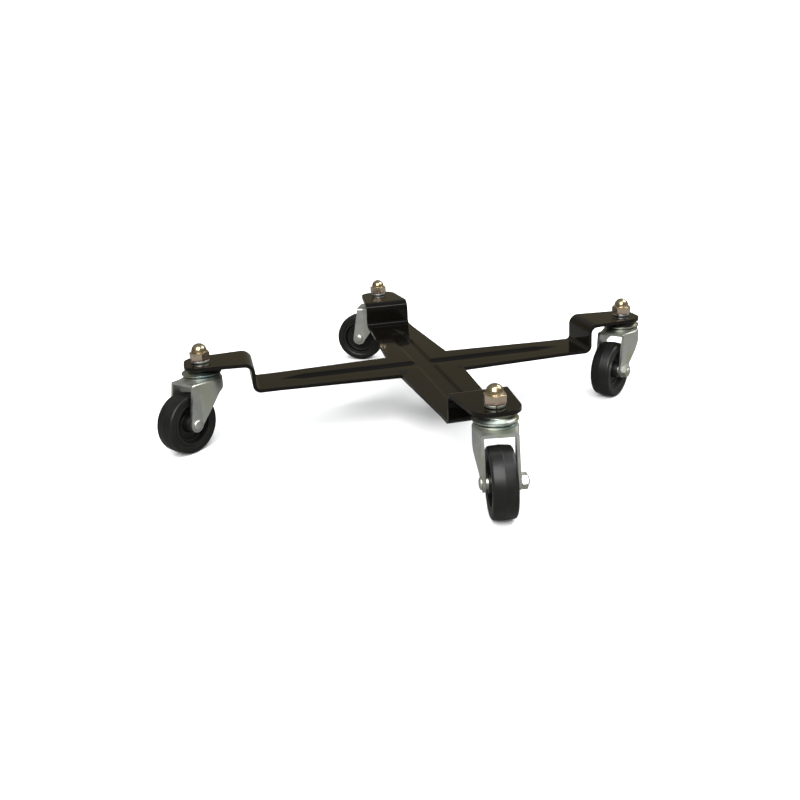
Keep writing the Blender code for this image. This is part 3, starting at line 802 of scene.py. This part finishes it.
def fork_mesh():
    back_reach = TRAIL + AXLE_END_RADIUS * 2
    bottom = AXLE_HEIGHT - AXLE_END_RADIUS * 2
    outer = hood_solid(0, back_reach, bottom, CROWN_TOP, CROWN_ROUND)
    inner_top = CROWN_TOP - FORK_SHEET
    inner = hood_solid(FORK_SHEET, back_reach * 1.5, bottom * 0.5, inner_top, CROWN_INNER_ROUND)
    mesh = combined(outer, inner, "DIFFERENCE")
    mesh = combined(mesh, fork_side_prism(), "INTERSECT")
    mesh = combined(mesh, round_bar(RACE_BORE_RADIUS, bottom, CROWN_TOP * 2), "DIFFERENCE")
    axle_hole = round_bar(AXLE_HOLE_RADIUS, -HOOD_RADIUS * 2, HOOD_RADIUS * 2)
    axle_hole.transform(Matrix.Translation((TRAIL, 0, AXLE_HEIGHT)) @ Matrix.Rotation(math.pi / 2, 4, "X"))
    return combined(mesh, axle_hole, "DIFFERENCE")


def ball_track(sign):
    """The raceway's section, outside to inside, above the balls (1) or below them (-1)."""
    low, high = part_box("front_ball_ring")
    middle = (low.z + high.z) / 2
    radius = BALL_RADIUS + GAP
    start = math.degrees(math.asin(RACE_SPLIT / radius))
    points = arc((BALL_CIRCLE_RADIUS, 0), radius, start, 180 - start, 12)
    return [(reach, middle + sign * height, 0) for reach, height in points]


def top_race_mesh():
    low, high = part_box("front_top_race")[0].z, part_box("front_top_race")[1].z
    corners = [
        (TOP_RACE_NECK_RADIUS, high, 0.3 * MM),
        (TOP_RACE_NECK_RADIUS + 0.4 * MM, high - 2.4 * MM, 1.5 * MM),
        (TOP_RACE_RADIUS - 1.2 * MM, low + 1.9 * MM, 1 * MM),
        (TOP_RACE_RADIUS, low + 1.6 * MM, 0.5 * MM),
        (TOP_RACE_RADIUS, low, 0.5 * MM),
        *ball_track(1),
        (RACE_BORE_RADIUS, low, 0.3 * MM),
        (RACE_BORE_RADIUS, high, 0.3 * MM),
    ]
    return turned(filleted(corners))


def lower_race_mesh():
    low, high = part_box("front_lower_race")[0].z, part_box("front_lower_race")[1].z
    corners = [
        (RACE_BORE_RADIUS, high, 0.3 * MM),
        *reversed(ball_track(-1)),
        (LOWER_RACE_RADIUS - 0.9 * MM, high, 0.7 * MM),
        (LOWER_RACE_RADIUS, high - 0.9 * MM, 0.6 * MM),
        (LOWER_RACE_RADIUS, low, 0.2 * MM),
        (RACE_BORE_RADIUS, low, 0.2 * MM),
    ]
    return turned(filleted(corners))


def ball_ring_mesh():
    """The cage and its balls."""
    low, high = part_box("front_ball_ring")[0].z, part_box("front_ball_ring")[1].z
    height = (low + high) / 2
    top, bottom = height + CAGE_HALF_THICKNESS, height - CAGE_HALF_THICKNESS
    inner = BALL_CIRCLE_RADIUS - CAGE_HALF_WIDTH
    outer = BALL_CIRCLE_RADIUS + CAGE_HALF_WIDTH
    section = ((outer, top), (outer, bottom), (inner, bottom), (inner, top))
    corners = [(reach, level, 0.2 * MM) for reach, level in section]
    shape = bmesh.new()
    shape.from_mesh(turned(filleted(corners, steps=2)))
    for index in range(BALL_COUNT):
        angle = math.tau * (index + 0.5) / BALL_COUNT
        across, along = math.cos(angle) * BALL_CIRCLE_RADIUS, math.sin(angle) * BALL_CIRCLE_RADIUS
        spot = Matrix.Translation((across, along, height))
        bmesh.ops.create_uvsphere(shape, u_segments=24, v_segments=16, radius=BALL_RADIUS, matrix=spot)
    return mesh_of(shape)


def stem_mesh():
    low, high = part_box("front_stem")[0].z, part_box("front_stem")[1].z
    head_top = CROWN_TOP - FORK_SHEET - GAP
    corners = [
        (0, high, 0),
        (STEM_RADIUS - 1 * MM, high, 0),
        (STEM_RADIUS, high - 1 * MM, 0),
        (STEM_RADIUS, head_top, 0),
        (STEM_HEAD_RADIUS, head_top, 0.4 * MM),
        (STEM_HEAD_RADIUS, head_top - 1.4 * MM, 0.8 * MM),
        (STEM_HEAD_RADIUS - 2 * MM, low, 1 * MM),
        (0, low, 0),
    ]
    return turned(filleted(corners, closed=False), SMALL_SEGMENTS)


def hexagon(across_flats):
    radius = across_flats / math.sqrt(3)
    return arc((0, 0), radius, 0, 300, 5)


def chamfered_hex(across_flats, low, high):
    """A hexagon with its corners turned off at 30 degrees."""
    corner = across_flats / math.sqrt(3) * 1.002
    flat = across_flats / 2 * 0.97
    drop = (corner - flat) * math.tan(math.radians(30))
    top = [(0, high), (flat, high), (corner, high - drop)]
    bottom = [(corner, low + drop), (flat, low), (0, low)]
    cone = turned(top + bottom)
    return combined(prism(hexagon(across_flats), low - MM, high + MM), cone, "INTERSECT")


def stem_nut_mesh():
    """A domed cap nut: a chamfered hexagon, a short neck and a dome."""
    low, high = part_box("front_stem_nut")[0].z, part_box("front_stem_nut")[1].z
    hex_top = low + NUT_HEX_HEIGHT
    mesh = chamfered_hex(NUT_ACROSS_FLATS, low, hex_top)
    neck_top = hex_top + NUT_NECK_HEIGHT
    profile = [(0, high)]
    for degrees in range(84, -1, -6):
        angle = math.radians(degrees)
        height = neck_top + (high - neck_top) * math.sin(angle)
        profile.append((NUT_DOME_RADIUS * math.cos(angle), height))
    profile += [
        (NUT_DOME_RADIUS - 0.25 * MM, hex_top + 0.2 * MM),
        (NUT_DOME_RADIUS, hex_top - MM),
        (0, hex_top - MM),
    ]
    mesh = combined(mesh, turned(profile), "UNION")
    bore_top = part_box("front_stem")[1].z + GAP
    return combined(mesh, round_bar(NUT_BORE_RADIUS, low - MM, bore_top), "DIFFERENCE")


def spring_washer_mesh():
    """A square-section ring, split and sprung a little out of flat."""
    low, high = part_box("front_spring_washer")[0].z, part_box("front_spring_washer")[1].z
    thickness = high - low - WASHER_SPRING
    corners = [
        (NUT_BORE_RADIUS, 0, 0.2 * MM),
        (WASHER_RADIUS, 0, 0.35 * MM),
        (WASHER_RADIUS, thickness, 0.35 * MM),
        (NUT_BORE_RADIUS, thickness, 0.2 * MM),
    ]
    section = filleted(corners, steps=3)
    loops = []
    for step in range(WASHER_STEPS + 1):
        share = step / WASHER_STEPS
        angle = WASHER_SPLIT_ANGLE / 2 + (math.tau - WASHER_SPLIT_ANGLE) * share
        rise = low + WASHER_SPRING * share
        loops.append([(r * math.cos(angle), r * math.sin(angle), rise + z) for r, z in section])
    return stacked(loops)


# Wheel and axle parts, in the axle's axes


def tyre_mesh():
    """Tread with a moulding ridge round its middle, round shoulders and a lip beside the core."""
    half = WHEEL_WIDTH / 2
    shoulder = WHEEL_RADIUS - TREAD_SHOULDER_DROP
    upper = [
        (TYRE_INNER_RADIUS, half - 1.2 * MM, 0.2 * MM),
        (TYRE_INNER_RADIUS + 0.9 * MM, half - 0.9 * MM, 0.3 * MM),
        (TYRE_INNER_RADIUS + 1.6 * MM, half - 0.5 * MM, 0.5 * MM),
        (shoulder, half - 0.1 * MM, SHOULDER_ROUND * 1.5),
        (WHEEL_RADIUS - 0.12 * MM, 0.5 * MM, 0.3 * MM),
    ]
    ridge = [(WHEEL_RADIUS, 0.15 * MM, 0.1 * MM), (WHEEL_RADIUS, -0.15 * MM, 0.1 * MM)]
    lower = [(radius, -height, fillet) for radius, height, fillet in reversed(upper)]
    return turned(filleted(upper + ridge + lower, steps=6), TURNED_SEGMENTS * 2)


def core_mesh():
    """Rim, dished web with a raised bead, and hub."""
    half = WHEEL_WIDTH / 2
    rim = TYRE_INNER_RADIUS - GAP
    rim_half = half - RIM_SETBACK
    web = WEB_HALF_THICKNESS
    bore = SLEEVE_RADIUS + GAP
    upper = [
        (bore, half, 0.3 * MM),
        (HUB_RADIUS, half, 0.8 * MM),
        (HUB_RADIUS + 0.6 * MM, web, 1.6 * MM),
        (HUB_RADIUS + 4 * MM, web, 0.6 * MM),
        (HUB_RADIUS + 4.8 * MM, web + WEB_BEAD_HEIGHT, 0.4 * MM),
        (HUB_RADIUS + 6.4 * MM, web + WEB_BEAD_HEIGHT, 0.4 * MM),
        (HUB_RADIUS + 7.2 * MM, web, 0.6 * MM),
        (RECESS_RADIUS - 0.8 * MM, web, 1.6 * MM),
        (RECESS_RADIUS, rim_half, 0.5 * MM),
        (rim, rim_half, 0.3 * MM),
    ]
    lower = [(radius, -height, fillet) for radius, height, fillet in reversed(upper)]
    return turned(filleted(upper + lower, steps=4))


def sleeve_mesh():
    half = FORK_HALF_WIDTH - FORK_SHEET - GAP
    bore = AXLE_RADIUS + GAP
    corners = [
        (SLEEVE_RADIUS, half, 0.4 * MM),
        (SLEEVE_RADIUS, -half, 0.4 * MM),
        (bore, -half, 0.3 * MM),
        (bore, half, 0.3 * MM),
    ]
    return turned(filleted(corners), SMALL_SEGMENTS)


def axle_bolt_mesh():
    """A low round head, a plain shank, and threads where it stands out of the nut."""
    face = FORK_HALF_WIDTH + GAP
    head_top = face + AXLE_HEAD_HEIGHT
    nut_end = -(face + AXLE_NUT_HEIGHT)
    end = nut_end - THREAD_REACH
    profile = [
        (0, head_top),
        (AXLE_HEAD_RADIUS * 0.45, head_top - 0.05 * MM),
        (AXLE_HEAD_RADIUS * 0.72, head_top - 0.45 * MM),
        (AXLE_HEAD_RADIUS * 0.92, head_top - 1.1 * MM),
        (AXLE_HEAD_RADIUS, head_top - 1.9 * MM),
        (AXLE_HEAD_RADIUS, face + 0.2 * MM),
        (AXLE_HEAD_RADIUS - 0.2 * MM, face),
        (AXLE_RADIUS, face),
    ]
    height = nut_end + 0.2 * MM
    while height > end + THREAD_PITCH * 0.6:
        profile.append((AXLE_RADIUS - 0.1 * MM, height))
        profile.append((AXLE_RADIUS - THREAD_DEPTH, height - THREAD_PITCH / 2))
        height -= THREAD_PITCH
    profile += [(AXLE_RADIUS - 0.2 * MM, end + 0.5 * MM), (AXLE_RADIUS - 0.8 * MM, end), (0, end)]
    return turned(profile, SMALL_SEGMENTS)


def axle_nut_mesh():
    face = FORK_HALF_WIDTH + GAP
    mesh = chamfered_hex(AXLE_NUT_ACROSS_FLATS, -face - AXLE_NUT_HEIGHT, -face)
    return combined(mesh, round_bar(AXLE_RADIUS + 0.15 * MM, -face * 2, 0), "DIFFERENCE")


def add_casters():
    """Each part is made once, in its own axes, and placed at all four casters."""
    on_stem = (
        ("stem_nut", stem_nut_mesh(), "frame", "yellow_zinc", YELLOW),
        ("spring_washer", spring_washer_mesh(), "frame", "yellow_zinc", ZINC),
        ("stem", stem_mesh(), "frame", "bright_zinc", ZINC),
        # The races wear the darker zinc: painted shade for the flange above them.
        ("top_race", top_race_mesh(), "frame", "bright_zinc", RACE),
        ("ball_ring", ball_ring_mesh(), "frame", "bearing_steel", STEEL),
        ("lower_race", lower_race_mesh(), "swivel", "bright_zinc", RACE),
        ("fork", fork_mesh(), "swivel", "bright_zinc", ZINC),
    )
    on_axle = (
        ("tyre", tyre_mesh(), "wheel", "black_rubber", RUBBER),
        ("wheel_core", core_mesh(), "wheel", "black_plastic", PLASTIC),
        ("axle_sleeve", sleeve_mesh(), "swivel", "bright_zinc", ZINC),
        ("axle_bolt", axle_bolt_mesh(), "swivel", "bright_zinc", ZINC),
        ("axle_nut", axle_nut_mesh(), "swivel", "bright_zinc", ZINC),
    )
    for place in PLACES:
        for parts, matrix in ((on_stem, caster_matrix(place)), (on_axle, axle_matrix(place))):
            for part, mesh, group, slot, material in parts:
                body = group if group == "frame" else f"{place}_{group}"
                name = f"{place}_{part}"
                add_piece(name + "_detail", placed(mesh, matrix), body, [name], material)


# Studio


def add_floor():
    shape = bmesh.new()
    bmesh.ops.create_grid(shape, x_segments=8, y_segments=8, size=FLOOR_SIZE)
    floor = bpy.data.objects.new("studio_floor", mesh_of(shape, "studio_floor"))
    bpy.context.scene.collection.objects.link(floor)
    material, tree, shader, place = start_material("studio_floor")
    stops = [(0.3, (0.89, 0.89, 0.885)), (0.7, (0.91, 0.91, 0.905))]
    tint = ramp(tree, noise(tree, place, 3), stops)
    rays = node(tree, "ShaderNodeLightPath")
    mix = node(tree, "ShaderNodeMix", data_type="RGBA")
    mix.inputs["B"].default_value = (*FLOOR_IN_REFLECTIONS, 1)
    tree.links.new(rays.outputs["Is Glossy Ray"], mix.inputs["Factor"])
    tree.links.new(tint, mix.inputs["A"])
    tree.links.new(mix.outputs["Result"], shader.inputs["Base Color"])
    shader.inputs["Roughness"].default_value = 0.9
    shader.inputs["Specular IOR Level"].default_value = 0
    floor.data.materials.append(material)


def add_softbox(name, azimuth, elevation, distance, size, power):
    """An area light that faces the dolly. Azimuth 0 is in front of it and 90 at its right."""
    data = bpy.data.lights.new(name, "AREA")
    data.shape = "RECTANGLE"
    data.size, data.size_y = size
    data.energy = power
    light = bpy.data.objects.new(name, data)
    bpy.context.scene.collection.objects.link(light)
    turn, tilt = math.radians(azimuth), math.radians(elevation)
    away = Vector((math.sin(turn) * math.cos(tilt), -math.cos(turn) * math.cos(tilt), math.sin(tilt)))
    light.location = CENTRE + away * distance
    light.rotation_mode = "QUATERNION"
    light.rotation_quaternion = away.to_track_quat("Z", "Y")


def background(tree, colour, strength):
    made = node(tree, "ShaderNodeBackground")
    made.inputs["Color"].default_value = (*colour, 1)
    made.inputs["Strength"].default_value = strength
    return made


def add_world():
    """White to the eye and as fill. Reflections see a dim room instead, warm and brown low down and
    lighter and neutral overhead."""
    world = bpy.data.worlds.new("studio")
    bpy.context.scene.world = world
    world.use_nodes = True
    tree = world.node_tree
    fill = background(tree, FILL_COLOUR, FILL_STRENGTH)
    room = background(tree, (1, 1, 1), 1)
    place = node(tree, "ShaderNodeTexCoord")
    split = node(tree, "ShaderNodeSeparateXYZ")
    tree.links.new(place.outputs["Generated"], split.inputs["Vector"])
    tint = ramp(tree, split.outputs["Z"], ROOM_IN_REFLECTIONS)
    tree.links.new(tint, room.inputs["Color"])
    rays = node(tree, "ShaderNodeLightPath")
    mix = node(tree, "ShaderNodeMixShader")
    tree.links.new(rays.outputs["Is Glossy Ray"], mix.inputs["Fac"])
    tree.links.new(fill.outputs["Background"], mix.inputs[1])
    tree.links.new(room.outputs["Background"], mix.inputs[2])
    tree.links.new(mix.outputs["Shader"], tree.nodes["World Output"].inputs["Surface"])


def add_camera():
    aim = CENTRE + Vector((0, 0, CAMERA_AIM_HEIGHT))
    level_part = math.cos(CAMERA_ELEVATION)
    x = -math.sin(CAMERA_AZIMUTH) * level_part
    y = -math.cos(CAMERA_AZIMUTH) * level_part
    back = Vector((x, y, math.sin(CAMERA_ELEVATION)))
    data = bpy.data.cameras.new("camera")
    data.lens = CAMERA_LENS
    data.shift_x, data.shift_y = CAMERA_SHIFT
    camera = bpy.data.objects.new("camera", data)
    bpy.context.scene.collection.objects.link(camera)
    level = back.to_track_quat("Z", "Y").to_matrix().to_4x4()
    roll = Matrix.Rotation(CAMERA_ROLL, 4, "Z")
    camera.matrix_world = Matrix.Translation(aim + back * CAMERA_DISTANCE) @ level @ roll
    bpy.context.scene.camera = camera


add_long_bar()
add_half_bar("front_arm", 270)
add_half_bar("back_arm", 90)
add_welds()
add_casters()
add_floor()
add_world()
for softbox in SOFTBOXES:
    add_softbox(*softbox)
add_camera()
bpy.context.scene.view_settings.view_transform = "Standard"
